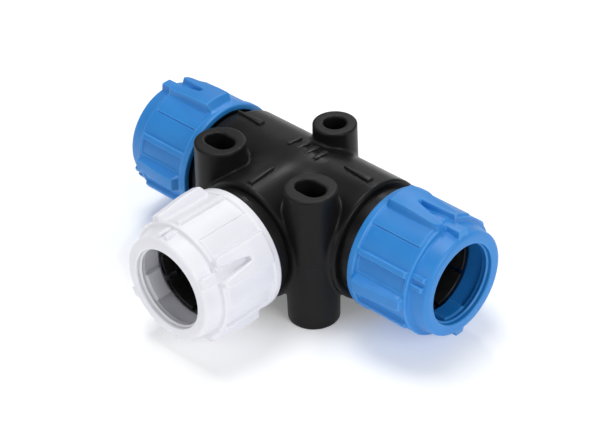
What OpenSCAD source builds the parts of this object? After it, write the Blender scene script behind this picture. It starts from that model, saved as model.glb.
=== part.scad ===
// Equal tee fitting for 22 mm pipe: a black moulded body with three threaded necks,
// and on each neck a ribbed coupling nut over a grab wedge, a grab ring and two seals.
// Frame: the foot plane of the fixing bosses is z = 0, the pair of slots is centred on
// the origin, the run lies along X and the branch points towards -Y. Millimetres.

/* [Pipe and sockets] */
// Outside diameter of the pipe
pipe_d = 22; // [21.8:0.1:22.1]
// Radial gap between the pipe and its socket
pipe_gap = 0.15; // [0.1:0.01:0.2]
// Diameter of the waterway between the sockets
waterway_d = 15.5; // [13:0.5:16]
// Distance from a nut's base in to the pipe stop
stop_depth = 14; // [13:0.5:14]
// Distance from a nut's base in to the floor of the seal chamber
chamber_depth = 3.5; // [3.5:0.1:4]
// Diameter of the seal chamber
chamber_d = 26.8; // [26.8:0.1:27]

/* [Body] */
// Outside diameter of the run and branch tubes
tube_d = 35.8; // [34.5:0.1:36]
// Centre of the tee to the base of a run nut
run_reach = 31.5; // [31:0.5:34]
// Centre of the tee to the base of the branch nut
branch_reach = 28.7; // [28.5:0.1:31]
// Height of the bosses, which the pipe axes cross half-way up
boss_height = 42.4; // [42:0.2:44]
// Raise of the moulded marks above the tube
mark_raise = 0.35; // [0.2:0.05:0.5]

/* [Fixing bosses] */
// Distance between the two slots
slot_spacing = 34.6; // [34:0.1:36]
// Distance of the slots from the run axis
slot_offset = 16.2; // [16:0.1:17]
// Width of a slot
slot_w = 6.3; // [6:0.1:6.4]
// Length of a slot, end to end
slot_l = 9.2; // [8.4:0.1:9.4]
// Diameter of a slotted boss at its end faces
boss_d = 14.6; // [14:0.1:15]
// Diameter of a slotted boss half-way up
boss_mid_d = 15.4; // [15:0.1:16]
// Diameter of the rear boss at its end faces
rear_boss_d = 12.6; // [12:0.1:13]
// Diameter of the rear boss half-way up
rear_boss_mid_d = 13.2; // [13:0.1:14]
// Distance of the rear boss from the run axis
rear_offset = 11.6; // [11.4:0.1:12]
// Diameter of the blind holes in the rear boss, one from each end
rear_hole_d = 6.4; // [6:0.1:6.5]
// Depth of each blind hole
rear_hole_depth = 12; // [8:0.5:12]

/* [Nuts] */
// Diameter of the ring round a nut's base
skirt_d = 36; // [36:0.1:37]
// Length of a nut
nut_l = 25.7; // [25.7:0.1:27]
// Diameter of a nut's nose
nose_d = 31; // [30:0.1:31.4]
// Diameter of a nut's mouth at the rim
mouth_d = 23.6; // [23.4:0.1:23.8]
// Turn of the run nuts about their axes, from the notched lug standing up
run_nut_turn = 0; // [-180:1:180]
// Turn of the branch nut about its axis
branch_nut_turn = -58.5; // [-180:0.5:180]

/* [Thread] */
// Pitch of the nut thread
pitch = 3.2; // [3:0.1:3.2]
// Length of thread on a neck
thread_l = 9.4; // [7:0.1:9.4]

/* [Hidden] */
PORTS = ["left", "right", "branch"];
PIECES = ["nut", "grab_wedge", "grab_ring", "support_washer", "outer_o_ring", "spacer_ring", "inner_o_ring"];
$fn = 64;

axis_z = boss_height / 2;                   // height of both pipe axes
socket_r = pipe_d / 2 + pipe_gap;
chamber_r = chamber_d / 2;
ring_in_r = socket_r + 0.1;                 // everything the pipe passes through
tube_r = tube_d / 2;
collar_depth = 4.5;                         // tube's end shoulder back from a nut's base
collar_r = 15.9;                            // plain neck seen between shoulder and nut
neck_r = 14.8;                              // root of the male thread
neck_l = 11.5;                              // neck beyond a nut's base
male_r = 15.6;                              // crest of the male thread
nut_bore_r = 16;                            // root of the female thread
female_r = 15.1;                            // crest of the female thread
thread_start = 1.1;
ridge_root = 1.6;                           // axial width of a thread ridge at its root
ridge_crest = 0.8;
ridge_steps = 12;                           // level steps in one turn of thread
step_overlap = 3;                           // degrees that each step runs on under the next

base_ring_l = 2.2;                          // plain ring at a nut's base
panel_r = 17.4;                             // skirt between the ribs
shoulder_a = 20;                            // where the skirt turns in towards the nose
nose_a = 20.6;                              // where the nose starts
nose_r = nose_d / 2;
mouth_r = mouth_d / 2;
cone_a = 12;                                // start of the nut's inner cone
cone_l = 5;
cone_end_r = 12.6;
lip_a = 21.6;                               // back of the lip inside the mouth
lip_front_a = nut_l - 1.5;
lip_r = 11.4;
rib_r = 18.2;
lug_r = 20;
notch_lug_r = 20.8;
rib_start = 1.6;
rib_end = 19.6;
notch_a = 10.6;                             // apex of the notched lug's V
pad_r = 17.2;                               // two bars that run on over the nose
pad_end = 24.9;
pad_turn = 12;                              // degrees that such a bar covers
nose_rib_r = 16.2;                          // twin ribs on the nose
nose_rib_end = 24;
key_r = 11.5;                               // keys inside the mouth, behind the lip
key_turn = 36;
key_start = 17.6;
bar_root_r = nut_bore_r + 0.75;             // how deep the ribs and lugs reach into the skirt

ring_out_r = chamber_r - 0.1;
seal_d = ring_out_r - ring_in_r + 0.04;     // O-ring cord
seal_mid_r = (ring_out_r + ring_in_r) / 2;
inner_seal_a = -chamber_depth + seal_d / 2 + 0.03;
spacer_a = inner_seal_a + seal_d / 2 + 0.05;
spacer_l = 2;
outer_seal_a = spacer_a + spacer_l + seal_d / 2 + 0.05;
washer_a = outer_seal_a + seal_d / 2 + 0.05;
washer_l = 2;
grab_ring_a = washer_a + washer_l + 0.3;
grab_ring_l = 1.4;
wedge_a = grab_ring_a + grab_ring_l + 0.1;
wedge_end_a = cone_a + cone_l;
wedge_r = chamber_r - 0.3;
cone_gap = 0.35;

// ---------- placing ----------

// Turns a port drawn along +Z, with its "up" along +X, onto one of the three necks.
module at_port(port, turn = 0) {
    translate([0, slot_offset, axis_z])
    if (port == "right") rotate([0, 90, 0]) rotate([0, 0, 180 + turn]) translate([0, 0, run_reach]) children();
    else if (port == "left") rotate([0, -90, 0]) rotate([0, 0, turn]) translate([0, 0, run_reach]) children();
    else rotate([90, 0, 0]) rotate([0, 0, 90 + turn]) translate([0, 0, branch_reach]) children();
}

function nut_turn(port) = port == "branch" ? branch_nut_turn : run_nut_turn;

// ---------- threads ----------

// Right-handed helical ridge between radii r0 (root) and r1 (crest), in short level steps that
// overlap, starting at axial position a0 and rising for length l.
module thread_ridge(r0, r1, a0, l) {
    half_root = ridge_root / 2;
    half_crest = ridge_crest / 2;
    for (i = [0:floor(l / pitch * ridge_steps) - 1])
        translate([0, 0, a0 + pitch * i / ridge_steps]) rotate([0, 0, 360 * i / ridge_steps + 1])
            rotate_extrude(angle = 360 / ridge_steps + step_overlap)
                polygon([[r0, -half_root], [r1, -half_crest], [r1, half_crest], [r0, half_root]]);
}

// ---------- body ----------

module tube_half(reach) {
    tube_l = reach - collar_depth;
    rotate_extrude() polygon([[0, 0], [tube_r, 0], [tube_r, tube_l - 1.2], [tube_r - 1.2, tube_l],
        [collar_r, tube_l], [collar_r, reach - 0.9], [neck_r, reach - 0.5],
        [neck_r, reach + neck_l - 0.8], [neck_r - 0.6, reach + neck_l], [0, reach + neck_l]]);
}

module port_bores(reach) {
    cylinder(h = reach, r = waterway_d / 2);
    translate([0, 0, reach - stop_depth]) cylinder(h = stop_depth, r = socket_r);
    translate([0, 0, reach - chamber_depth]) cylinder(h = chamber_depth + neck_l + 1, r = chamber_r);
}

// One of the three directions from the crossing of the pipe axes.
module from_centre(port) {
    translate([0, slot_offset, axis_z])
    if (port == "right") rotate([0, 90, 0]) children();
    else if (port == "left") rotate([0, -90, 0]) children();
    else rotate([90, 0, 0]) children();
}

function reach_of(port) = port == "branch" ? branch_reach : run_reach;

// Column from foot plane to top face, drafted both ways from its middle.
module boss(x, y, end_d, mid_d) {
    half = boss_height / 2;
    translate([x, y, 0]) {
        cylinder(h = half, r1 = end_d / 2, r2 = mid_d / 2);
        translate([0, 0, half]) cylinder(h = half, r1 = mid_d / 2, r2 = end_d / 2);
    }
}

module slot_cut(side) {
    half_run = (slot_l - slot_w) / 2;
    translate([side * slot_spacing / 2, 0, -1]) {
        for (end = [-1, 1]) translate([end * half_run, 0, 0]) cylinder(h = boss_height + 2, d = slot_w);
        translate([-half_run, -slot_w / 2, 0]) cube([2 * half_run, slot_w, boss_height + 2]);
    }
}

// Raised tapering mark on top of a tube, its point at start and its wide end at start + l.
module wedge_mark(l, w) {
    translate([0, 0, boss_height / 2 + tube_r - 3])
        linear_extrude(3 + mark_raise) polygon([[0, -0.2], [l, -w / 2], [l, w / 2], [0, 0.2]]);
}

module tee_body() {
    color([0.07, 0.07, 0.075]) difference() {
        union() {
            for (port = PORTS) from_centre(port) tube_half(reach_of(port));
            for (side = [-1, 1]) boss(side * slot_spacing / 2, 0, boss_d, boss_mid_d);
            boss(0, slot_offset + rear_offset, rear_boss_d, rear_boss_mid_d);
            translate([-28, slot_offset + 1.2, 0]) wedge_mark(9.5, 2);
            translate([14, slot_offset + 0.6, 0]) wedge_mark(9.5, 2);
            translate([0, slot_offset - 12.8, 0]) rotate([0, 0, -90]) wedge_mark(9, 2);
            for (port = PORTS) at_port(port, nut_turn(port))
                thread_ridge(neck_r - 0.4, male_r, thread_start, thread_l);
        }
        for (port = PORTS) from_centre(port) port_bores(reach_of(port));
        for (side = [-1, 1]) slot_cut(side);
        for (z = [-1, boss_height - rear_hole_depth])
            translate([0, slot_offset + rear_offset, z]) cylinder(h = rear_hole_depth + 1, d = rear_hole_d);
    }
}

// ---------- one port's pieces, each drawn along +Z from the nut's base ----------

module nut_shell() {
    rotate_extrude($fn = 96) polygon([
        [nut_bore_r, 0], [skirt_d / 2 - 0.4, 0], [skirt_d / 2, 0.4], [skirt_d / 2, base_ring_l],
        [panel_r, base_ring_l + 0.5], [panel_r, shoulder_a - 0.6], [panel_r - 0.8, shoulder_a],
        [nose_r + 0.3, nose_a], [nose_r, nose_a + 0.6], [nose_r, nut_l - 0.6], [nose_r - 0.6, nut_l],
        [mouth_r, nut_l], [lip_r, lip_front_a], [lip_r, lip_a], [cone_end_r, lip_a - 0.3],
        [cone_end_r, cone_a + cone_l], [nut_bore_r, cone_a]]);
}

// Bar along the skirt at one angle, out to radius r and from axial position a0 to a1.
module nut_bar(angle, r, w, a0, a1) {
    rotate([0, 0, angle]) translate([bar_root_r, -w / 2, a0]) cube([r - bar_root_r, w, a1 - a0]);
}

module notched_lug() {
    difference() {
        nut_bar(0, notch_lug_r, 8.4, rib_start, rib_end);
        translate([panel_r + 0.6, 0, notch_a]) rotate([0, 90, 0])
            linear_extrude(5) polygon([[0, 0], [-12, -2.4], [-12, 2.4]]);
    }
}

// Part ring between radii r0 and r1, centred on one angle.
module part_ring(angle, turn, r0, r1, a0, a1) {
    rotate([0, 0, angle - turn / 2]) rotate_extrude(angle = turn)
        polygon([[r0, a0], [r1, a0], [r1, a1], [r0, a1]]);
}

module coupling_nut() {
    nut_shell();
    notched_lug();
    for (turn = [90, 180, 270]) nut_bar(turn, lug_r, 5.6, rib_start, rib_end);
    for (turn = [61.8, 118.2, 241.8, 298.2]) nut_bar(turn, rib_r, 1.8, rib_start, rib_end);
    for (turn = [59.8, 69.8, 239.8, 249.8]) rotate([0, 0, turn])
        translate([nose_r - 1.5, -0.75, rib_end - 0.3])
            cube([nose_rib_r - nose_r + 1.5, 1.5, nose_rib_end - rib_end + 0.3]);
    for (turn = [-1.5, 179]) part_ring(turn, pad_turn, nose_r - 1, pad_r, rib_end - 0.5, pad_end);
    for (turn = [0, 180]) part_ring(turn, key_turn, key_r, cone_end_r + 0.4, key_start, lip_a + 0.2);
    thread_ridge(nut_bore_r + 0.4, female_r, thread_start + pitch / 2, thread_l - pitch / 2);
}

module grab_wedge() {
    flange_a = neck_l + 0.3;
    slope = (nut_bore_r - cone_end_r) / cone_l;
    tip_r = cone_end_r - cone_gap;
    difference() {
        rotate_extrude() polygon([
            [ring_in_r, wedge_a], [wedge_r, wedge_a], [wedge_r, flange_a],
            [tip_r + slope * (wedge_end_a - flange_a) - 0.5, flange_a],
            [tip_r + slope * (wedge_end_a - flange_a - 0.5), flange_a + 0.5],
            [tip_r, wedge_end_a - 0.3], [ring_in_r, wedge_end_a - 0.3]]);
        translate([0, -0.8, wedge_a - 1]) cube([20, 1.6, wedge_end_a]);
        for (turn = [60:60:300]) rotate([0, 0, turn])
            translate([0, -0.5, wedge_a + 3.5]) cube([20, 1, wedge_end_a]);
    }
}

module grab_ring() {
    rim_r = wedge_r;
    difference() {
        rotate_extrude() polygon([
            [ring_in_r, grab_ring_a], [ring_in_r + 0.5, grab_ring_a], [rim_r - 0.8, grab_ring_a + 0.9],
            [rim_r, grab_ring_a + 0.9], [rim_r, grab_ring_a + grab_ring_l],
            [rim_r - 1, grab_ring_a + grab_ring_l], [ring_in_r, grab_ring_a + 0.5]]);
        for (turn = [0:22.5:337.5]) rotate([0, 0, turn])
            translate([0, -0.35, grab_ring_a - 1]) cube([rim_r - 0.9, 0.7, 4]);
    }
}

module flat_ring(a, l, bevel) {
    rotate_extrude() polygon([
        [ring_in_r, a], [ring_out_r - bevel, a], [ring_out_r, a + bevel],
        [ring_out_r, a + l], [ring_in_r, a + l]]);
}

module o_ring(a) {
    rotate_extrude() translate([seal_mid_r, a]) circle(d = seal_d, $fn = 32);
}

// ---------- nodes ----------

module nut(port) {
    finish = port == "branch" ? [0.9, 0.91, 0.95] : [0.22, 0.53, 0.83];
    color(finish) at_port(port, nut_turn(port)) coupling_nut();
}
module wedge_piece(port) { color([0.05, 0.05, 0.055]) at_port(port) grab_wedge(); }
module ring_piece(port) { color([0.75, 0.76, 0.78]) at_port(port) grab_ring(); }
module washer_piece(port) { color([0.86, 0.86, 0.84]) at_port(port) flat_ring(washer_a, washer_l, 0.4); }
module spacer_piece(port) { color([0.86, 0.86, 0.84]) at_port(port) flat_ring(spacer_a, spacer_l, 0.2); }
module outer_seal(port) { color([0.03, 0.03, 0.03]) at_port(port) o_ring(outer_seal_a); }
module inner_seal(port) { color([0.03, 0.03, 0.03]) at_port(port) o_ring(inner_seal_a); }

tee_body();
for (port = PORTS) {
    nut(port);
    wedge_piece(port);
    ring_piece(port);
    washer_piece(port);
    outer_seal(port);
    spacer_piece(port);
    inner_seal(port);
}
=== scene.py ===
import math

import bpy
import numpy as np
import openvdb
from mathutils import Matrix, Vector


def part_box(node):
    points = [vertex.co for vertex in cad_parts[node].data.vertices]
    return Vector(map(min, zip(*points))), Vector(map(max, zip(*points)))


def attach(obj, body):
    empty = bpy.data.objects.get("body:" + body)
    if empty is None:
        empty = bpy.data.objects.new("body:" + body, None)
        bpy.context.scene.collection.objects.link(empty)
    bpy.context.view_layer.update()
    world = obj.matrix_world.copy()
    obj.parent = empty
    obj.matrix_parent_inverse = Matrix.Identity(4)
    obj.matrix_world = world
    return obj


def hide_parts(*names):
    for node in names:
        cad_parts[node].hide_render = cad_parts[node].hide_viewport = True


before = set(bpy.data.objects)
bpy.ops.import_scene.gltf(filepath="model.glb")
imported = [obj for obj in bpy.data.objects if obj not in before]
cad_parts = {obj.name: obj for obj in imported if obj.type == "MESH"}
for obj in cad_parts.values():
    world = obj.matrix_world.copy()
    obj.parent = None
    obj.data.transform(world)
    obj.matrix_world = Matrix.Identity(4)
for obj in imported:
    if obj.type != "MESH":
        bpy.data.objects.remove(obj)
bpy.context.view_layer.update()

mm = 0.001             # shapes below are in millimetres; the stage and the camera are in metres
axisHeight = 21.2      # height of both pipe axes above the boss feet
runLine = 16.2         # the run axis, along X, sits this far behind the slots
runReach = 31.5        # from the branch's axis to the base of a run nut
branchReach = 28.7     # from the run axis to the base of the branch nut
coneSlope = 0.68       # widening of a nut's cone and of its wedge, in each millimetre
coneEnd = 17.0         # narrow end of the cone, from the nut's base

# Each neck has its own directions, side and out, and starts at the middle of its nut's base.
necks = {
    "right": {"base": (runReach, runLine, axisHeight), "side": (0, -1, 0), "out": (1, 0, 0), "turn": 0},
    "left": {"base": (-runReach, runLine, axisHeight), "side": (0, 1, 0), "out": (-1, 0, 0), "turn": 0},
    "branch": {
        "base": (0, runLine - branchReach, axisHeight),
        "side": (-1, 0, 0), "out": (0, -1, 0),
        "turn": -58.5,      # degrees that its nut is turned by
    },
}


# Turns a radius, an angle in radians and a distance along a neck into a place.
def onNeck(port, radius, angle, along):
    neck = necks[port]
    turn = math.radians(neck["turn"])
    up = np.array((0, 0, 1.0))
    side, out = np.array(neck["side"], float), np.array(neck["out"], float)
    spoke = np.cos(angle + turn)[..., None] * up + np.sin(angle + turn)[..., None] * side
    return np.array(neck["base"]) + radius[..., None] * spoke + along[..., None] * out


def ease(t):
    t = np.clip(t, 0, 1)
    return t * t * (3 - 2 * t)


def drop(distance, width):
    return 1 - ease(distance / width)      # 1 inside, falling to 0 over the width


# 1 between start and end, rising over one width after start and falling over the other after end.
def band(value, start, end, rise, fall):
    return ease((value - start) / rise) * drop(value - end, fall)


def softMax(a, b, blend):
    h = np.clip(blend - np.abs(a - b), 0, None) / blend
    return np.maximum(a, b) + h * h * blend / 4


def softMin(a, b, blend):
    return -softMax(-a, -b, blend)


def angleTo(angle, centre):
    return (angle - centre + 180) % 360 - 180


# Profiles are lists of (along, radius).
def level(start, end, step, radius):
    return [(along, radius) for along in np.arange(start, end, step)]


def bend(start, corner, end, steps):
    start, corner, end = Vector(start), Vector(corner), Vector(end)
    ts = [i / steps for i in range(steps + 1)]
    return [tuple(start * (1 - t) ** 2 + corner * 2 * t * (1 - t) + end * t * t) for t in ts]


# One bend after another: stops and corners take turns, and each corner has its number of steps.
def bendLine(stops, steps):
    line = [stops[0]]
    for i, count in enumerate(steps):
        line += bend(*stops[2 * i:2 * i + 3], count)[1:]
    return line


# Rounds every corner of a closed profile, so a turned piece has no knife edges.
def roundedProfile(corners, radius, steps=3):
    out = []
    count = len(corners)
    for i in range(count):
        before, here, after = (Vector(corners[j % count]) for j in (i - 1, i, i + 1))
        reach = min(radius, 0.45 * (before - here).length, 0.45 * (after - here).length)
        start = here + (before - here).normalized() * reach
        end = here + (after - here).normalized() * reach
        out += bend(start, here, end, steps)
    return out


# Writes how sharply each point stands out, per millimetre, for the lighter edges of the finishes, which
# are partly edge wear and partly a painted highlight standing in for glints.
def markOuterEdges(mesh):
    count = len(mesh.vertices)
    spots, facing = np.zeros(count * 3), np.zeros(count * 3)
    mesh.vertices.foreach_get("co", spots)
    mesh.vertices.foreach_get("normal", facing)
    spots, facing = spots.reshape(-1, 3) / mm, facing.reshape(-1, 3)
    pairs = np.zeros(len(mesh.edges) * 2, int)
    mesh.edges.foreach_get("vertices", pairs)
    a, b = pairs.reshape(-1, 2).T
    along = spots[b] - spots[a]
    size = np.clip((along ** 2).sum(1), 0.01, None)
    sharpness = np.zeros(count)
    np.maximum.at(sharpness, a, -2 * (facing[a] * along).sum(1) / size)
    np.maximum.at(sharpness, b, 2 * (facing[b] * along).sum(1) / size)
    total, near = np.zeros(count), np.zeros(count)
    for one, other in ((a, b), (b, a)):
        np.add.at(total, one, sharpness[other])
        np.add.at(near, one, 1)
    sharpness = (sharpness + total / np.clip(near, 1, None)) / 2      # evened out with its neighbours
    edge = mesh.attributes.new("outerEdge", "FLOAT", "POINT")
    edge.data.foreach_set("value", sharpness.astype(np.float32))


def meshPiece(name, points, faces, sharpAngle=None):
    mesh = bpy.data.meshes.new(name)
    mesh.from_pydata((np.asarray(points) * mm).tolist(), [], faces)
    mesh.validate()
    mesh.polygons.foreach_set("use_smooth", np.ones(len(mesh.polygons), bool))
    piece = bpy.data.objects.new(name, mesh)
    bpy.context.scene.collection.objects.link(piece)
    markOuterEdges(mesh)
    if sharpAngle:
        mesh.set_sharp_from_angle(angle=math.radians(sharpAngle))
    return piece


def joinedMesh(name, shells, sharpAngle):
    points, faces = [], []
    for shellPoints, shellFaces in shells:
        base = len(points)
        points += [tuple(point) for point in shellPoints]
        faces += [[base + int(i) for i in face] for face in shellFaces]
    return meshPiece(name, points, faces, sharpAngle)


# Faces of a grid that closes on itself both ways.
def ringFaces(rows, columns):
    r, c = np.meshgrid(np.arange(rows), np.arange(columns), indexing="ij")
    rNext, cNext = (r + 1) % rows, (c + 1) % columns
    corners = (r * columns + c, r * columns + cNext, rNext * columns + cNext, rNext * columns + c)
    return np.stack(corners, -1).reshape(-1, 4).tolist()


def turnedPoints(port, profile, angles):
    profile = np.array(profile)
    along, angles = np.meshgrid(profile[:, 0], angles, indexing="ij")
    radii = np.repeat(profile[:, 1:2], angles.shape[1], 1)
    return onNeck(port, radii, angles, along).reshape(-1, 3)


def turnedRing(name, port, corners, edgeRound, columns=128):
    profile = roundedProfile(corners, edgeRound)
    points = turnedPoints(port, profile, np.linspace(0, 2 * math.pi, columns, endpoint=False))
    return meshPiece(name, points, ringFaces(len(profile), columns), sharpAngle=40)


# A closed slice of a turned ring, from one angle to another, for split rings and fingers.
def turnedSlice(port, corners, edgeRound, start, end, columns):
    profile = roundedProfile(corners, edgeRound, 2)
    points = turnedPoints(port, profile, np.radians(np.linspace(start, end, columns)))
    rows = len(profile)
    faces = []
    for r in range(rows):
        for c in range(columns - 1):
            here, above = r * columns + c, (r + 1) % rows * columns + c
            faces.append((here, here + 1, above + 1, above))
    faces.append([r * columns for r in range(rows)])
    faces.append([r * columns + columns - 1 for r in reversed(range(rows))])
    return points, faces


def textureNode(tree, kind, position, **inputs):
    node = tree.nodes.new(kind)
    for socket, value in inputs.items():
        node.inputs[socket].default_value = value
    tree.links.new(position, node.inputs["Vector"])
    return node.outputs["Fac"]


def rangeNode(tree, source, fromRange, toRange):
    node = tree.nodes.new("ShaderNodeMapRange")
    sockets = ("From Min", "From Max", "To Min", "To Max")
    for socket, value in zip(sockets, (*fromRange, *toRange)):
        node.inputs[socket].default_value = value
    tree.links.new(source, node.inputs["Value"])
    return node.outputs["Result"]


def mathNode(tree, operation, source, other=None):
    node = tree.nodes.new("ShaderNodeMath")
    node.operation = operation
    tree.links.new(source, node.inputs[0])
    if isinstance(other, float):
        node.inputs[1].default_value = other
    elif other:
        tree.links.new(other, node.inputs[1])
    return node.outputs[0]


partingLine = {
    "halfWidth": 0.28,      # of the line that the two halves of the mould leave
    "strength": 1.6,        # against the grain of the surface
}


def partingLineHeight(tree, position, height, shape):
    split = tree.nodes.new("ShaderNodeSeparateXYZ")
    tree.links.new(position, split.inputs["Vector"])
    away = mathNode(tree, "SUBTRACT", split.outputs["Z"], height * mm)
    near = mathNode(tree, "ABSOLUTE", away)
    return rangeNode(tree, near, (0.0, shape["halfWidth"] * mm), (shape["strength"], 0.0))


# Moulded plastic: slow colour drift, fine surface grain, and lighter edges that are partly wear and
# partly a painted highlight standing in for glints.
def mouldedPlastic(name, look):
    material = bpy.data.materials.new(name)
    material.use_nodes = True
    tree = material.node_tree
    link = tree.links.new
    shader = tree.nodes["Principled BSDF"]
    shader.inputs["Metallic"].default_value = look.get("metal", 0.0)
    shader.inputs["IOR"].default_value = look.get("ior", 1.49)
    shader.inputs["Specular IOR Level"].default_value = look.get("gloss", 0.5)
    position = tree.nodes.new("ShaderNodeTexCoord").outputs["Object"]
    noise = "ShaderNodeTexNoise"
    drift = textureNode(tree, noise, position, Scale=look["driftScale"], Detail=3.0, Roughness=0.55)
    grain = textureNode(tree, noise, position, Scale=look["grainScale"], Detail=2.0, Roughness=0.6)
    tone = tree.nodes.new("ShaderNodeValToRGB")
    for stop, place, colour in zip(tone.color_ramp.elements, (0.3, 0.7), (look["dark"], look["light"])):
        stop.position = place
        stop.color = (*colour, 1)
    link(drift, tone.inputs["Fac"])
    sharpness = tree.nodes.new("ShaderNodeAttribute")
    sharpness.attribute_name = "outerEdge"
    # Lighter colour on sharp outer edges: partly edge wear, partly a painted highlight standing in for
    # glints.
    wearAndGlint = tree.nodes.new("ShaderNodeMix")
    wearAndGlint.data_type = "RGBA"
    link(rangeNode(tree, sharpness.outputs["Fac"], (0.6, 3.0), (0.0, look["edgeWearAndGlint"])), wearAndGlint.inputs[0])
    link(tone.outputs["Color"], wearAndGlint.inputs[6])              # the plain colour
    wearAndGlint.inputs[7].default_value = (*look["wearAndGlint"], 1)        # the colour of the edges
    link(wearAndGlint.outputs[2], shader.inputs["Base Color"])
    roughness = rangeNode(tree, drift, (0.25, 0.75), (look["smooth"], look["rough"]))
    link(roughness, shader.inputs["Roughness"])
    height = grain
    if "seamHeight" in look:
        seam = partingLineHeight(tree, position, look["seamHeight"], partingLine)
        height = mathNode(tree, "ADD", seam, grain)
    bump = tree.nodes.new("ShaderNodeBump")
    bump.inputs["Strength"].default_value = look["grain"]
    bump.inputs["Distance"].default_value = 0.1 * mm
    link(height, bump.inputs["Height"])
    link(bump.outputs["Normal"], shader.inputs["Normal"])
    return material


# In each finish, the lighter edge colour and its amount brighten sharp edges: partly wear, partly a
# painted highlight for glints.
finishes = {
    "blackBody": {
        "dark": (0.0065, 0.0065, 0.007), "light": (0.0105, 0.0102, 0.0100), "wearAndGlint": (0.045, 0.044, 0.043),
        "driftScale": 60.0, "grainScale": 1500.0, "grain": 0.2, "smooth": 0.27, "rough": 0.42,
        "edgeWearAndGlint": 0.35, "seamHeight": axisHeight, "gloss": 0.15,
    },
    "blackWedge": {
        "dark": (0.006, 0.006, 0.006), "light": (0.011, 0.011, 0.011), "wearAndGlint": (0.04, 0.04, 0.04),
        "driftScale": 120.0, "grainScale": 2000.0, "grain": 0.2, "smooth": 0.18, "rough": 0.34,
        "edgeWearAndGlint": 0.2, "gloss": 0.25,
    },
    "blueNut": {
        "dark": (0.013, 0.205, 0.590), "light": (0.017, 0.230, 0.640), "wearAndGlint": (0.09, 0.38, 0.82),
        "driftScale": 90.0, "grainScale": 1400.0, "grain": 0.12, "smooth": 0.36, "rough": 0.46,
        "edgeWearAndGlint": 0.45,
    },
    "whiteNut": {
        "dark": (0.78, 0.78, 0.835), "light": (0.82, 0.82, 0.87), "wearAndGlint": (0.9, 0.9, 0.93),
        "driftScale": 90.0, "grainScale": 1400.0, "grain": 0.12, "smooth": 0.36, "rough": 0.46,
        "edgeWearAndGlint": 0.5,
    },
    "springSteel": {
        "dark": (0.42, 0.42, 0.43), "light": (0.56, 0.56, 0.57), "wearAndGlint": (0.75, 0.75, 0.76),
        "driftScale": 300.0, "grainScale": 3000.0, "grain": 0.15, "smooth": 0.2, "rough": 0.36,
        "edgeWearAndGlint": 0.6, "metal": 1.0,
    },
    "paleWasher": {
        "dark": (0.66, 0.66, 0.62), "light": (0.74, 0.74, 0.70), "wearAndGlint": (0.82, 0.82, 0.80),
        "driftScale": 120.0, "grainScale": 1800.0, "grain": 0.15, "smooth": 0.38, "rough": 0.5,
        "edgeWearAndGlint": 0.4,
    },
    "sealRubber": {
        "dark": (0.010, 0.010, 0.010), "light": (0.018, 0.018, 0.018), "wearAndGlint": (0.04, 0.04, 0.04),
        "driftScale": 150.0, "grainScale": 2400.0, "grain": 0.2, "smooth": 0.42, "rough": 0.6,
        "edgeWearAndGlint": 0.4, "ior": 1.52,
    },
}
paints = {name: mouldedPlastic(name, look) for name, look in finishes.items()}
print("finishes mixed")


def fitPiece(piece, body, node, paint):
    piece.data.materials.append(paints[paint])
    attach(piece, body)
    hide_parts(node)
    return piece


screwThread = {
    "pitch": 3.2,
    "start": 1.1, "length": 9.4,        # along the neck, from the nut's base
    "crest": 0.3, "flank": 0.55,        # half width of the flat top, and width of each side
    "fade": 1.2,                        # how long its ends take to grow and die away
    "neckHeight": 0.8, "nutHeight": 0.85,
}


# Height of a helical ridge, from 0 to 1.
def threadRidge(angle, along, start, length, thread):
    pitch, fade = thread["pitch"], thread["fade"]
    phase = (along - start - pitch * (angle % 360) / 360) % pitch
    near = np.minimum(phase, pitch - phase)
    inside = band(along, start - 0.2, start + length - 1.0, fade, fade)
    return drop(near - thread["crest"], thread["flank"]) * inside


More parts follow.
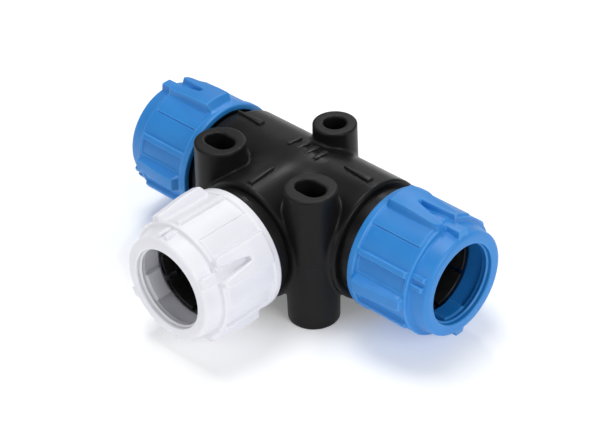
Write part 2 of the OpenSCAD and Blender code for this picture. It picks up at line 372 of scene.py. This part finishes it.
nutShape = {
    "length": 25.7,
    "baseRing": (18.0, 2.3),               # radius, length
    "panels": (17.75, 17.3, 16.95),        # radius beside the notched lug, further round, and sunk
    "panelStep": 34.5,                     # degrees from the same lugs where the panel drops
    # From and to are degrees from the notched lug or the one opposite; start and end are along the nut.
    "panelGroove": {"depth": 0.22, "halfTurn": 0.7, "start": 3.0, "end": 18.4},
    "deepPanel": {"from": 64.3, "to": 78.7, "start": 3.0, "end": 18.6},
    "ribs": {"radius": 18.2, "from": 58.6, "to": 64.2, "end": 18.9},
    "shoulderRing": (17.3, 18.8),          # radius, start; it runs on to the edge of the nose
    "lugTurns": (90, 180, 270),
    "lug": {"radius": 20.0, "top": 1.5, "flank": 1.75, "start": 1.2, "end": 19.3},
    "notchedLug": {"radius": 20.45, "top": 3.9, "flank": 1.8, "start": 1.2, "end": 20.3},
    # Both kinds of lug: width at the tips, slopes of the two ends, and a lower start near the base.
    "lugEnds": {"round": 2.0, "tip": 0.55, "outer": 0.75, "base": 0.7, "ramp": 2.2, "rampDepth": 0.6},
    "lugFall": {"by": 1.1, "from": 7.0, "over": 13.0},      # the crest comes down towards the nose
    "gripRadius": 18.5,                    # where widths across the lugs are measured
    "notch": {"apex": 10.6, "narrow": 0.2, "wide": 1.8, "floor": 17.9},
    "nose": {"radius": 15.25, "slope": 0.125, "end": 24.9},
    "barRoot": 13.6,                       # the bars on the nose grow from inside it
    "pads": {"rows": ((-1.5, 17.35), (179.0, 16.8)), "half": 4.5, "flank": 4.0, "end": 24.9, "fall": 0.5},
    "noseRibs": {"rows": [(turn, 16.5) for turn in (59.8, 69.8, 239.8, 249.8)],
                 "half": 2.1, "flank": 1.6, "end": 24.0, "fall": 0.7},
    "bore": 16.0,
    "coneTip": 12.6,                       # radius at the narrow end of the cone
    "keys": {
        "radius": 11.25, "turns": (0.0, 180.0), "half": 18.0, "flank": 2.2, "start": 17.4, "end": 22.6,
    },
    "columnStep": (0.6, 0.35),             # degrees between columns, and near the notch
    "skirtRows": (                         # start, end and step of the rows up the skirt
        (0.7, 2.1, 0.35), (2.1, 3.8, 0.15), (3.9, 8.0, 0.4), (8.0, 18.0, 0.25), (18.1, 19.98, 0.13),
    ),
    "noseRows": ((21.35, 23.5, 0.2), (23.55, 24.85, 0.1)),
}


def panelRadius(lugAngle, along, shape):
    high, middle, low = shape["panels"]
    radius = high + (middle - high) * ease((lugAngle - shape["panelStep"]) / 0.8 + 0.5)
    groove = shape["panelGroove"]
    inGroove = drop(np.abs(lugAngle - shape["panelStep"] - 0.5), groove["halfTurn"])
    radius = radius - groove["depth"] * inGroove * band(along, groove["start"], groove["end"], 0.6, 0.6)
    deep = shape["deepPanel"]
    inDeep = band(lugAngle, deep["from"], deep["to"], 1.4, 1.6)
    radius = radius + (low - middle) * inDeep * band(along, deep["start"], deep["end"], 0.6, 0.6)
    rib = shape["ribs"]
    onRib = band(lugAngle, rib["from"], rib["to"], 0.8, 0.8) * drop(along - rib["end"], 1.0)
    return radius + (rib["radius"] - middle) * onRib


def lugRadius(across, along, lug, shape):
    start, end, ends, fall = lug["start"], lug["end"], shape["lugEnds"], shape["lugFall"]
    foot = shape["panels"][2] - 0.6 - 4 * ease((along - 19.7) / 1.2)      # under the skirt, then the nose
    near = np.clip(1 - np.minimum(along - start, end - along) / ends["round"], 0, 1)
    half = lug["top"] * (ends["tip"] + (1 - ends["tip"]) * np.sqrt(1 - near * near))
    sides = drop(np.abs(across) - half, lug["flank"])
    ramp = 1 - ends["rampDepth"] * drop(along - start - 0.4, ends["ramp"])
    past = drop(np.clip(along - end, 0, None), ends["outer"])
    short = drop(np.clip(start - along, 0, None), ends["base"])
    top = lug["radius"] - fall["by"] * ease((along - fall["from"]) / fall["over"])
    return foot + (top - foot) * sides * ramp * past * short


# A V that opens outwards along the lug: 1 inside it, 0 outside.
def inNotch(across, along, notch, end):
    opened = np.clip((along - notch["apex"]) / (end - notch["apex"]), 0, 1.2)
    half = notch["narrow"] + (notch["wide"] - notch["narrow"]) * opened
    behind = np.clip(notch["apex"] - along, 0, None)
    return drop(np.hypot(np.clip(np.abs(across) - half, 0, None), behind), 0.7)


def noseBars(radius, angle, along, bars, root, blend):
    tall = band(along, 15.0, bars["end"], 1.0, bars["fall"])
    for turn, top in bars["rows"]:
        wide = drop(np.abs(angleTo(angle, turn)) - bars["half"], bars["flank"])
        radius = softMax(radius, root + (top - root) * wide * tall, blend)
    return radius


def skirtRadius(angle, along, shape):
    lugAngle = np.abs(angleTo(angle, 0))
    lugAngle = np.where(lugAngle > 90, 180 - lugAngle, lugAngle)
    panel = panelRadius(lugAngle, along, shape)
    ring, ringStart = shape["shoulderRing"]
    skirt = panel + (ring - panel) * ease((along - ringStart) / 0.7)
    baseRadius, baseEnd = shape["baseRing"]
    return baseRadius + (skirt - baseRadius) * ease((along - baseEnd + 0.15) / 0.55)


def nutSurface(angle, along, profileRadius, onSkirt, shape):
    radius = np.where(onSkirt, skirtRadius(angle, along, shape), profileRadius)
    for turn in shape["lugTurns"]:
        across = np.radians(angleTo(angle, turn)) * shape["gripRadius"]
        radius = softMax(radius, lugRadius(across, along, shape["lug"], shape), 0.5)
    across = np.radians(angleTo(angle, 0)) * shape["gripRadius"]
    lug, notch = shape["notchedLug"], shape["notch"]
    whole = lugRadius(across, along, lug, shape)
    floor = np.minimum(whole, notch["floor"] - 1.2 * ease((along - 17) / 5))
    radius = softMax(radius, whole + (floor - whole) * inNotch(across, along, notch, lug["end"]), 0.5)
    radius = noseBars(radius, angle, along, shape["pads"], shape["barRoot"], 0.35)
    return noseBars(radius, angle, along, shape["noseRibs"], shape["barRoot"], 0.25)


# Rows run from the base up the outside and over the rim, closest where lugs and bars end.
def nutOutside(shape):
    base, nose = shape["baseRing"][0], shape["nose"]
    rows = [(0.0, 17.2)] + bend((0.0, 17.6), (0.04, 17.96), (0.4, base), 2)
    for span in shape["skirtRows"]:
        rows += level(*span, base)
    skirtRows = len(rows)
    edge = [(20.04, 17.25), (20.25, 17.06), (20.33, 16.55), (20.39, 15.78), (21.15, 15.73)]
    rows += bendLine(edge, (4, 6))
    for span in shape["noseRows"]:
        rows += [(a, nose["radius"] + nose["slope"] * (nose["end"] - a)) for a in np.arange(*span)]
    rows += bend((24.93, 15.22), (25.5, 15.11), (shape["length"] - 0.01, 14.1), 5)
    return rows, skirtRows


# Rows run from the rim down the inside: mouth, lip, wedge's room, cone and threaded bore.
def nutInside(shape):
    length, bore, tip = shape["length"], shape["bore"], shape["coneTip"]
    rows = [(length, 13.5), (length, 12.9)]
    rows += bend((length, 12.5), (length + 0.05, 11.79), (25.0, 11.82), 5)
    lip = [(24.7, 11.82), (24.38, 11.85), (24.28, 11.52), (24.01, 11.26), (23.7, 11.48)]
    lip += [(23.61, 11.7), (23.3, 11.7)]
    rows += bendLine(lip, (3, 4, 3)) + [(23.0, 11.7)]
    step = [(22.7, 11.7), (22.19, 11.68), (22.12, 12.15), (22.04, 12.46), (21.7, 12.48)]
    rows += bendLine(step, (4, 3))
    rows += level(21.4, coneEnd, -0.25, tip - 0.1)
    rows += [(coneEnd, tip - 0.05), (coneEnd - 0.2, tip + 0.08)]
    rows += [(a, tip + (coneEnd - a) * coneSlope) for a in np.arange(16.4, 12.0, -0.6)]
    rows += level(12.0, 0.4, -0.28, bore)
    rows += bend((0.3, bore + 0.05), (0.05, bore + 0.175), (0.0, bore + 0.4), 2)
    return rows + [(0.0, bore + 0.8)]


# Two keys inside the mouth, where the wall comes in to a smaller radius.
def addKeys(radius, angle, along, keys):
    for turn in keys["turns"]:
        wide = drop(np.abs(angleTo(angle, turn)) - keys["half"], keys["flank"])
        tall = band(along, keys["start"], keys["end"], 0.4, 0.35)
        radius = radius - wide * tall * np.clip(radius - keys["radius"], 0, None)
    return radius


def buildNut(port, shape, thread):
    outside, skirtRows = nutOutside(shape)
    rows = np.array(outside + nutInside(shape))
    coarse, fine = shape["columnStep"]
    angle = np.concatenate([np.arange(-14, 14, fine), np.arange(14, 346, coarse)])
    along, angles = np.meshgrid(rows[:, 0], angle, indexing="ij")
    radius = np.repeat(rows[:, 1:2], len(angle), 1)
    plainRows = 3      # round the foot of the base ring
    onSkirt = np.zeros_like(radius, bool)
    onSkirt[plainRows:skirtRows] = True
    outer, inner = slice(plainRows, len(outside) - 1), slice(len(outside), None)
    radius[outer] = nutSurface(angles[outer], along[outer], radius[outer], onSkirt[outer], shape)
    radius[inner] = addKeys(radius[inner], angles[inner], along[inner], shape["keys"])
    halfPitch = thread["pitch"] / 2
    start, length = thread["start"] + halfPitch, thread["length"] - halfPitch
    ridge = threadRidge(angles[inner], along[inner], start, length, thread)
    inBore = (along[inner] < 11.9) & (along[inner] > 0.35)
    radius[inner] -= np.where(inBore, thread["nutHeight"] * ridge, 0)
    points = onNeck(port, radius, np.radians(angles), along).reshape(-1, 3)
    return meshPiece("coupling_nut_" + port, points, ringFaces(len(rows), len(angle)), sharpAngle=60)


for port in necks:
    colour = "white" if port == "branch" else "blue"
    nut = buildNut(port, nutShape, screwThread)
    fitPiece(nut, "screwed_" + port, "nut_" + port, colour + "Nut")
print("coupling nuts turned and ribbed")


innerParts = {
    "inside": 11.25, "outside": 13.1,      # radii of the wedge and of the grab ring
    "wedgeStart": 7.42, "wedgeTip": 12.25, "wedgeEnd": 16.7,
    "fingers": 6, "fingerGap": 3.2,        # half the gap, in degrees
    "teeth": 16, "toothGap": 1.8,
    "sealRadius": 12.275, "sealCord": 0.99,
    "washer": (11.27, 13.1, 13.28),        # inside, outside at the chamfer, outside
}


# The wedge is a split band with slit fingers that run into the nut's cone.
def buildWedge(port, parts):
    inside, outside = parts["inside"], parts["outside"]
    start, end, tip = parts["wedgeStart"], parts["wedgeEnd"], parts["wedgeTip"]
    root = [(start, inside), (start, outside), (10.95, outside), (10.95, inside)]
    finger = [(10.9, inside), (10.9, outside), (11.8, outside)]
    finger += [(a, tip + coneSlope * (coneEnd - a) - chamfer) for a, chamfer in ((11.8, 0.5), (12.3, 0))]
    finger += [(end, tip), (end, inside + 0.25), (end - 0.25, inside)]
    slices = [turnedSlice(port, root, 0.12, 3.6, 356.4, 97)]
    step, gap = 360 / parts["fingers"], parts["fingerGap"]
    for i in range(parts["fingers"]):
        slices.append(turnedSlice(port, finger, 0.18, i * step + gap, (i + 1) * step - gap, 17))
    return joinedMesh("grab_collet_" + port, slices, 35)


def buildGrabRing(port, parts):
    inside, outside = parts["inside"], parts["outside"]
    rim = [(6.8, outside - 1.1), (6.8, outside), (7.3, outside), (7.3, outside - 1.1)]
    tooth = [(5.9, inside), (5.95, inside + 0.5), (6.8, outside - 0.85)]
    tooth += [(7.3, outside - 0.95), (6.4, inside)]
    slices = [turnedSlice(port, rim, 0.06, 0.5, 359.5, 97)]
    step, gap = 360 / parts["teeth"], parts["toothGap"]
    for i in range(parts["teeth"]):
        slices.append(turnedSlice(port, tooth, 0.05, i * step + gap, (i + 1) * step - gap, 7))
    return joinedMesh("grab_teeth_" + port, slices, 35)


for port in necks:
    wedge, grabRing = buildWedge(port, innerParts), buildGrabRing(port, innerParts)
    fitPiece(wedge, "grip_" + port, "grab_wedge_" + port, "blackWedge")
    fitPiece(grabRing, "grip_" + port, "grab_ring_" + port, "springSteel")
print("wedges and grab rings made")


def oRingCorners(along, radius, cord):
    flash = 0.05      # thin mould line round the middle
    count = 24
    out = []
    for i in range(count):
        turn = 2 * math.pi * i / count
        reach = cord + (flash if i in (0, count // 2) else 0)
        out.append((along + reach * math.sin(turn), radius + reach * math.cos(turn)))
    return out


# Where a node's frame solid starts and ends along its neck.
def endsAlong(port, box):
    out, base = Vector(necks[port]["out"]), Vector(necks[port]["base"])
    return sorted(out.dot(Vector(corner) / mm - base) for corner in box)


def buildSeal(name, port, start, end, parts):
    corners = oRingCorners((start + end) / 2, parts["sealRadius"], parts["sealCord"])
    return turnedRing(name, port, corners, 0.05)


def buildWasher(name, port, start, end, parts):
    inside, chamfer, outside = parts["washer"]
    corners = [(start, inside), (start, chamfer), (start + 0.3, outside), (end, outside), (end, inside)]
    return turnedRing(name, port, corners, 0.15)


cadBoxes = {name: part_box(name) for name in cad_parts}
for port in necks:
    for kind in ("support_washer", "outer_o_ring", "spacer_ring", "inner_o_ring"):
        isSeal = "o_ring" in kind
        start, end = endsAlong(port, cadBoxes[kind + "_" + port])
        build = buildSeal if isSeal else buildWasher
        ring = build(kind + "_turned_" + port, port, start, end, innerParts)
        slotName, paint = ("seal_rubber", "sealRubber") if isSeal else ("washer_plastic", "paleWasher")
        fitPiece(ring, "tee", kind + "_" + port, paint)
print("washers, spacers and seals made")


bodyShape = {
    "tubeRadius": 17.9,
    "runEnd": 27.0,            # where the run tube's shoulder stands, from the middle
    "branchEnd": 24.2,
    "shoulderRound": 0.9,
    "saddle": 2.2,             # how softly the two tubes run together
    "slotAway": 17.3,          # each slot from the middle
    "rearBoss": 27.8,          # the rear boss, behind the slots
    "slottedBoss": (7.3, 7.7), "plainBoss": (6.3, 6.6),      # radius at the ends and at the middle
    "bossBlend": 1.1, "bossRound": 0.45,
    "height": 42.4,
    "slot": (3.15, 1.45),      # half width, and half the distance between its two ends' centres
    "blindHole": (3.2, 12.0),  # radius, depth
    "waterway": 7.75,
    "socket": 11.15, "stopDepth": 14.0,
    "gridLow": (-28.2, -9.6, -1.0), "gridHigh": (28.2, 35.6, 43.4), "voxel": 0.36,
}


# Distance from a round bar with rounded ends, lying either side of the middle.
def roundedBar(radial, along, radius, end, edge):
    u, v = radial - radius + edge, np.abs(along) - end + edge
    return np.minimum(np.maximum(u, v), 0) + np.hypot(np.clip(u, 0, None), np.clip(v, 0, None)) - edge


def holesField(x, y, z, shape):
    yy, zz = y - runLine, z - axisHeight
    runRadial, branchRadial = np.hypot(yy, zz), np.hypot(x, zz)
    holes = softMin(runRadial, np.where(yy < 0, branchRadial, 99), 0.4) - shape["waterway"]
    runStop, branchStop = runReach - shape["stopDepth"], branchReach - shape["stopDepth"]
    holes = np.minimum(holes, np.maximum(runRadial - shape["socket"], runStop - np.abs(x)))
    holes = np.minimum(holes, np.maximum(branchRadial - shape["socket"], branchStop + yy))
    halfWidth, halfRun = shape["slot"]
    for side in (-1, 1):
        dx = np.clip(np.abs(x - side * shape["slotAway"]) - halfRun, 0, None)
        holes = np.minimum(holes, np.hypot(dx, y) - halfWidth)
    holeRadius, holeDepth = shape["blindHole"]
    blind = np.hypot(x, y - shape["rearBoss"]) - holeRadius
    return np.minimum(holes, np.maximum(blind, shape["height"] / 2 - holeDepth - np.abs(zz)))


# Distance from the surface of the body, negative inside the plastic.
def bodyField(x, y, z, shape):
    yy, zz = y - runLine, z - axisHeight
    tube, edge, half = shape["tubeRadius"], shape["shoulderRound"], shape["branchEnd"] / 2
    run = roundedBar(np.hypot(yy, zz), x, tube, shape["runEnd"], edge)
    branch = roundedBar(np.hypot(x, zz), yy + half, tube, half, edge)
    solid = softMin(run, branch, shape["saddle"])
    middle, away = shape["height"] / 2, shape["slotAway"]
    bosses = [(-away, 0, shape["slottedBoss"]), (away, 0, shape["slottedBoss"])]
    bosses += [(0, shape["rearBoss"], shape["plainBoss"])]
    for bx, by, (endRadius, midRadius) in bosses:
        reach = midRadius + (endRadius - midRadius) * np.abs(zz) / middle
        post = roundedBar(np.hypot(x - bx, y - by) - reach, zz, 0, middle, shape["bossRound"])
        solid = softMin(solid, post, shape["bossBlend"])
    return softMax(solid, -holesField(x, y, z, shape), 0.5)


def buildShell(shape):
    voxel = shape["voxel"]
    low, high = np.array(shape["gridLow"]), np.array(shape["gridHigh"])
    sizes = [int((high[i] - low[i]) / voxel) + 1 for i in range(3)]
    axes = [low[i] + voxel * np.arange(sizes[i]) for i in range(3)]
    x, y, z = np.meshgrid(*axes, indexing="ij", sparse=True)
    field = bodyField(x, y, z, shape).astype(np.float32)
    reach = 3 * voxel
    grid = openvdb.FloatGrid(reach)
    grid.copyFromArray(np.clip(field, -reach, reach))
    points, quads = grid.convertToQuads(0.0)
    points = low + points.astype(float) * voxel
    step = 0.02
    for _ in range(3):      # pull the points onto the true surface
        value = bodyField(*points.T, shape)
        ahead = [bodyField(*(points + step * axis).T, shape) for axis in np.eye(3)]
        slope = np.stack([(far - value) / step for far in ahead], -1)
        size = np.clip((slope ** 2).sum(-1), 0.25, None)
        points = points - (np.clip(value, -0.3, 0.3) / size)[:, None] * slope
    return points, quads[:, ::-1]


neckShape = {
    "start": -5.4, "end": 11.5,      # from the nut's base; it starts inside the tube's shoulder
    "collar": 15.9, "root": 14.8,    # radius of the plain collar, and of the neck below its thread
    "chamber": 13.4, "chamberStart": -3.5,
    "rowStep": 0.16, "columns": 240,
}


# A neck beyond the tube's shoulder: plain collar, outside thread and open seal chamber.
def buildNeck(port, shape, thread, socket):
    start, end, collar, root = shape["start"], shape["end"], shape["collar"], shape["root"]
    chamber, chamberStart = shape["chamber"], shape["chamberStart"]
    rows = [(start, 11.4), (start, 12.5), (start, 14.0), (start, collar), (-4.0, collar)]
    rows += bend((-1.3, collar), (-1.1, collar + 0.02), (-0.9, collar - 0.2), 2)
    rows += bend((-0.6, root + 0.2), (-0.55, root + 0.02), (-0.3, root), 2)
    rows += level(-0.1, 10.7, shape["rowStep"], root)
    rows += bend((10.9, root - 0.1), (11.45, root - 0.4), (end, 13.9), 3)
    rows += bend((end, chamber + 0.3), (end - 0.035, chamber + 0.05), (end - 0.25, chamber), 2)
    rows += level(11.0, -3.4, -1.2, chamber)
    rows += [(chamberStart, chamber), (chamberStart, 12.3), (chamberStart, 11.3)]
    rows += [(chamberStart - 0.1, socket + 0.02), (-4.4, socket), (-4.7, socket + 0.15)]
    rows = np.array(rows)
    columns = shape["columns"]
    angle = np.linspace(0, 360, columns, endpoint=False)
    along, angles = np.meshgrid(rows[:, 0], angle, indexing="ij")
    radius = np.repeat(rows[:, 1:2], columns, 1)
    ridge = threadRidge(angles, along, thread["start"], thread["length"], thread)
    onThread = (np.abs(radius - root) < 0.01) & (along > -0.35)
    radius = np.where(onThread, radius + thread["neckHeight"] * ridge, radius)
    return onNeck(port, radius, np.radians(angles), along).reshape(-1, 3), ringFaces(len(rows), columns)


marks = {
    # Tapering marks: place of the thin end, direction in degrees, length and width.
    "arrows": [((-28.0, 17.4), 0, 9.6, 2.1), ((14.0, 16.8), 0, 9.6, 2.1), ((0.0, 3.4), -90, 9.2, 2.1)],
    "bars": [(-5.4, 17.2), (-1.9, 17.0), (1.6, 16.8), (5.1, 16.6)],
    "barHalf": 1.9, "barRound": 0.75, "barLean": 0.06,
    "raise": 0.65,
    "dot": {"spot": (-0.6, 10.3), "radius": 0.45, "raise": 0.35},
}


# Raised pad whose top follows the tube below it; outline is a list of (x, y) round it.
def raisedPad(outline, lift, alongRun, tubeRadius):
    outline = np.array(outline, float)
    centre = outline.mean(0)
    rings = [(0.0, -0.8), (0.0, lift - 0.12), (0.0245, lift - 0.02), (0.07, lift)]      # inset, height
    points = []
    for inset, height in rings:
        spots = outline + (centre - outline) * inset
        offset = spots[:, 1] - runLine if alongRun else spots[:, 0]
        top = axisHeight + np.sqrt(np.clip(tubeRadius ** 2 - offset ** 2, 0, None))
        points += [(x, y, z + height) for (x, y), z in zip(spots, top)]
    count = len(outline)
    faces = []
    for r in range(len(rings) - 1):
        for c in range(count):
            n = (c + 1) % count
            faces.append((r * count + c, r * count + n, (r + 1) * count + n, (r + 1) * count + c))
    faces.append([(len(rings) - 1) * count + i for i in range(count)])
    faces.append(list(reversed(range(count))))
    return points, faces


def arrowOutline(spot, turn, length, width):
    thin, middle = 0.2, width / 4 + 0.1
    side = [(0, thin), (length * 0.5, middle), (length, width / 2), (length, width / 6)]
    line = [(u, -v) for u, v in side] + side[::-1]
    c, s = math.cos(math.radians(turn)), math.sin(math.radians(turn))
    return [(spot[0] + c * u - s * v, spot[1] + s * u + c * v) for u, v in line]


def barOutline(spot, shape, count=16):
    outline = []
    for i in range(count):
        turn = 2 * math.pi * i / count
        tall = shape["barHalf"] if math.sin(turn) > 0 else -shape["barHalf"]
        x = spot[0] + shape["barRound"] * math.cos(turn) + shape["barLean"] * tall
        outline.append((x, spot[1] + tall + shape["barRound"] * math.sin(turn)))
    return outline


def dotOutline(dot, count=12):
    turns = np.linspace(0, 2 * math.pi, count, endpoint=False)
    (x, y), radius = dot["spot"], dot["radius"]
    return [(x + radius * math.cos(turn), y + radius * math.sin(turn)) for turn in turns]


def buildMarks(shape, tubeRadius):
    pads = []
    for spot, turn, length, width in shape["arrows"]:
        outline = arrowOutline(spot, turn, length, width)
        pads.append(raisedPad(outline, shape["raise"], turn == 0, tubeRadius))
    for spot in shape["bars"]:
        pads.append(raisedPad(barOutline(spot, shape), shape["raise"], True, tubeRadius))
    pads.append(raisedPad(dotOutline(shape["dot"]), shape["dot"]["raise"], True, tubeRadius))
    return pads


shells = [buildShell(bodyShape)]
shells += [buildNeck(port, neckShape, screwThread, bodyShape["socket"]) for port in necks]
shells += buildMarks(marks, bodyShape["tubeRadius"])
body = fitPiece(joinedMesh("moulded_body", shells, 50), "tee", "tee_body", "blackBody")
print("moulded body made:", len(body.data.polygons), "faces")


stage = {
    "floorSize": 1.6, "floorTone": (0.93, 0.93, 0.93), "floorGlow": 0.2,
    "floorDrop": 0.00002,      # the floor lies just under the feet
    "surround": 0.36,
    # Each lamp: power, size and place; all of them face the middle of the body.
    "lamps": {
        "key_light": (10.0, 0.7, (-0.25, 0.10, 1.55)),
        "side_light": (10.0, 0.9, (1.45, -0.10, 0.75)),
        "front_light": (4.0, 0.9, (-0.30, -1.45, 0.65)),
        "back_light": (1.2, 0.9, (-0.70, 1.30, 0.70)),
        "glint_light": (1.8, 0.08, (-0.55, 0.75, 0.95)),
    },
    "lampTarget": (0, 0.005, 0.02),
}


def buildFloor(shape, count=24):
    half = shape["floorSize"] / 2
    line = np.linspace(-half, half, count)
    points = [(x, y, -shape["floorDrop"]) for x in line for y in line]
    cells = [(i, j) for i in range(count - 1) for j in range(count - 1)]
    corners = ((0, 0), (1, 0), (1, 1), (0, 1))
    faces = [[(i + di) * count + j + dj for di, dj in corners] for i, j in cells]
    floor = meshPiece("pale_floor", np.array(points) / mm, faces)
    material = bpy.data.materials.new("paleFloor")
    material.use_nodes = True
    shader = material.node_tree.nodes["Principled BSDF"]
    shader.inputs["Base Color"].default_value = (*shape["floorTone"], 1)
    shader.inputs["Roughness"].default_value = 0.9
    shader.inputs["Specular IOR Level"].default_value = 0.1
    shader.inputs["Emission Color"].default_value = (1, 1, 1, 1)
    shader.inputs["Emission Strength"].default_value = shape["floorGlow"]
    floor.data.materials.append(material)


def softLight(name, power, size, spot, target):
    light = bpy.data.lights.new(name, "AREA")
    light.shape = "DISK"
    light.size = size
    light.energy = power
    lamp = bpy.data.objects.new(name, light)
    lamp.location = spot
    lamp.rotation_euler = (Vector(target) - Vector(spot)).to_track_quat("-Z", "Y").to_euler()
    bpy.context.scene.collection.objects.link(lamp)


def lightSurround(strength):
    world = bpy.data.worlds.new("studio")
    world.use_nodes = True
    background = world.node_tree.nodes["Background"]
    background.inputs["Color"].default_value = (1, 1, 1, 1)
    background.inputs["Strength"].default_value = strength
    bpy.context.scene.world = world
    bpy.context.scene.view_settings.view_transform = "Standard"


buildFloor(stage)
for name, (power, size, spot) in stage["lamps"].items():
    softLight(name, power, size, spot, stage["lampTarget"])
lightSurround(stage["surround"])


view = {
    "spot": (0.3367, -0.3221, 0.3529),
    "target": (0.00235, 0.0106, 0.0212),      # on the level of the pipe axes
    "roll": -1.9,
    "lens": 124.0, "sensor": 36.0, "nearest": 0.01,
}


def buildCamera(shape):
    cameraData = bpy.data.cameras.new("camera")
    cameraData.lens = shape["lens"]
    cameraData.sensor_width = shape["sensor"]
    cameraData.clip_start = shape["nearest"]
    camera = bpy.data.objects.new("camera", cameraData)
    aim = (Vector(shape["target"]) - Vector(shape["spot"])).to_track_quat("-Z", "Y").to_matrix().to_4x4()
    rolled = aim @ Matrix.Rotation(math.radians(shape["roll"]), 4, "Z")
    camera.matrix_world = Matrix.Translation(shape["spot"]) @ rolled
    bpy.context.scene.collection.objects.link(camera)
    bpy.context.scene.camera = camera


buildCamera(view)
print("stage set")
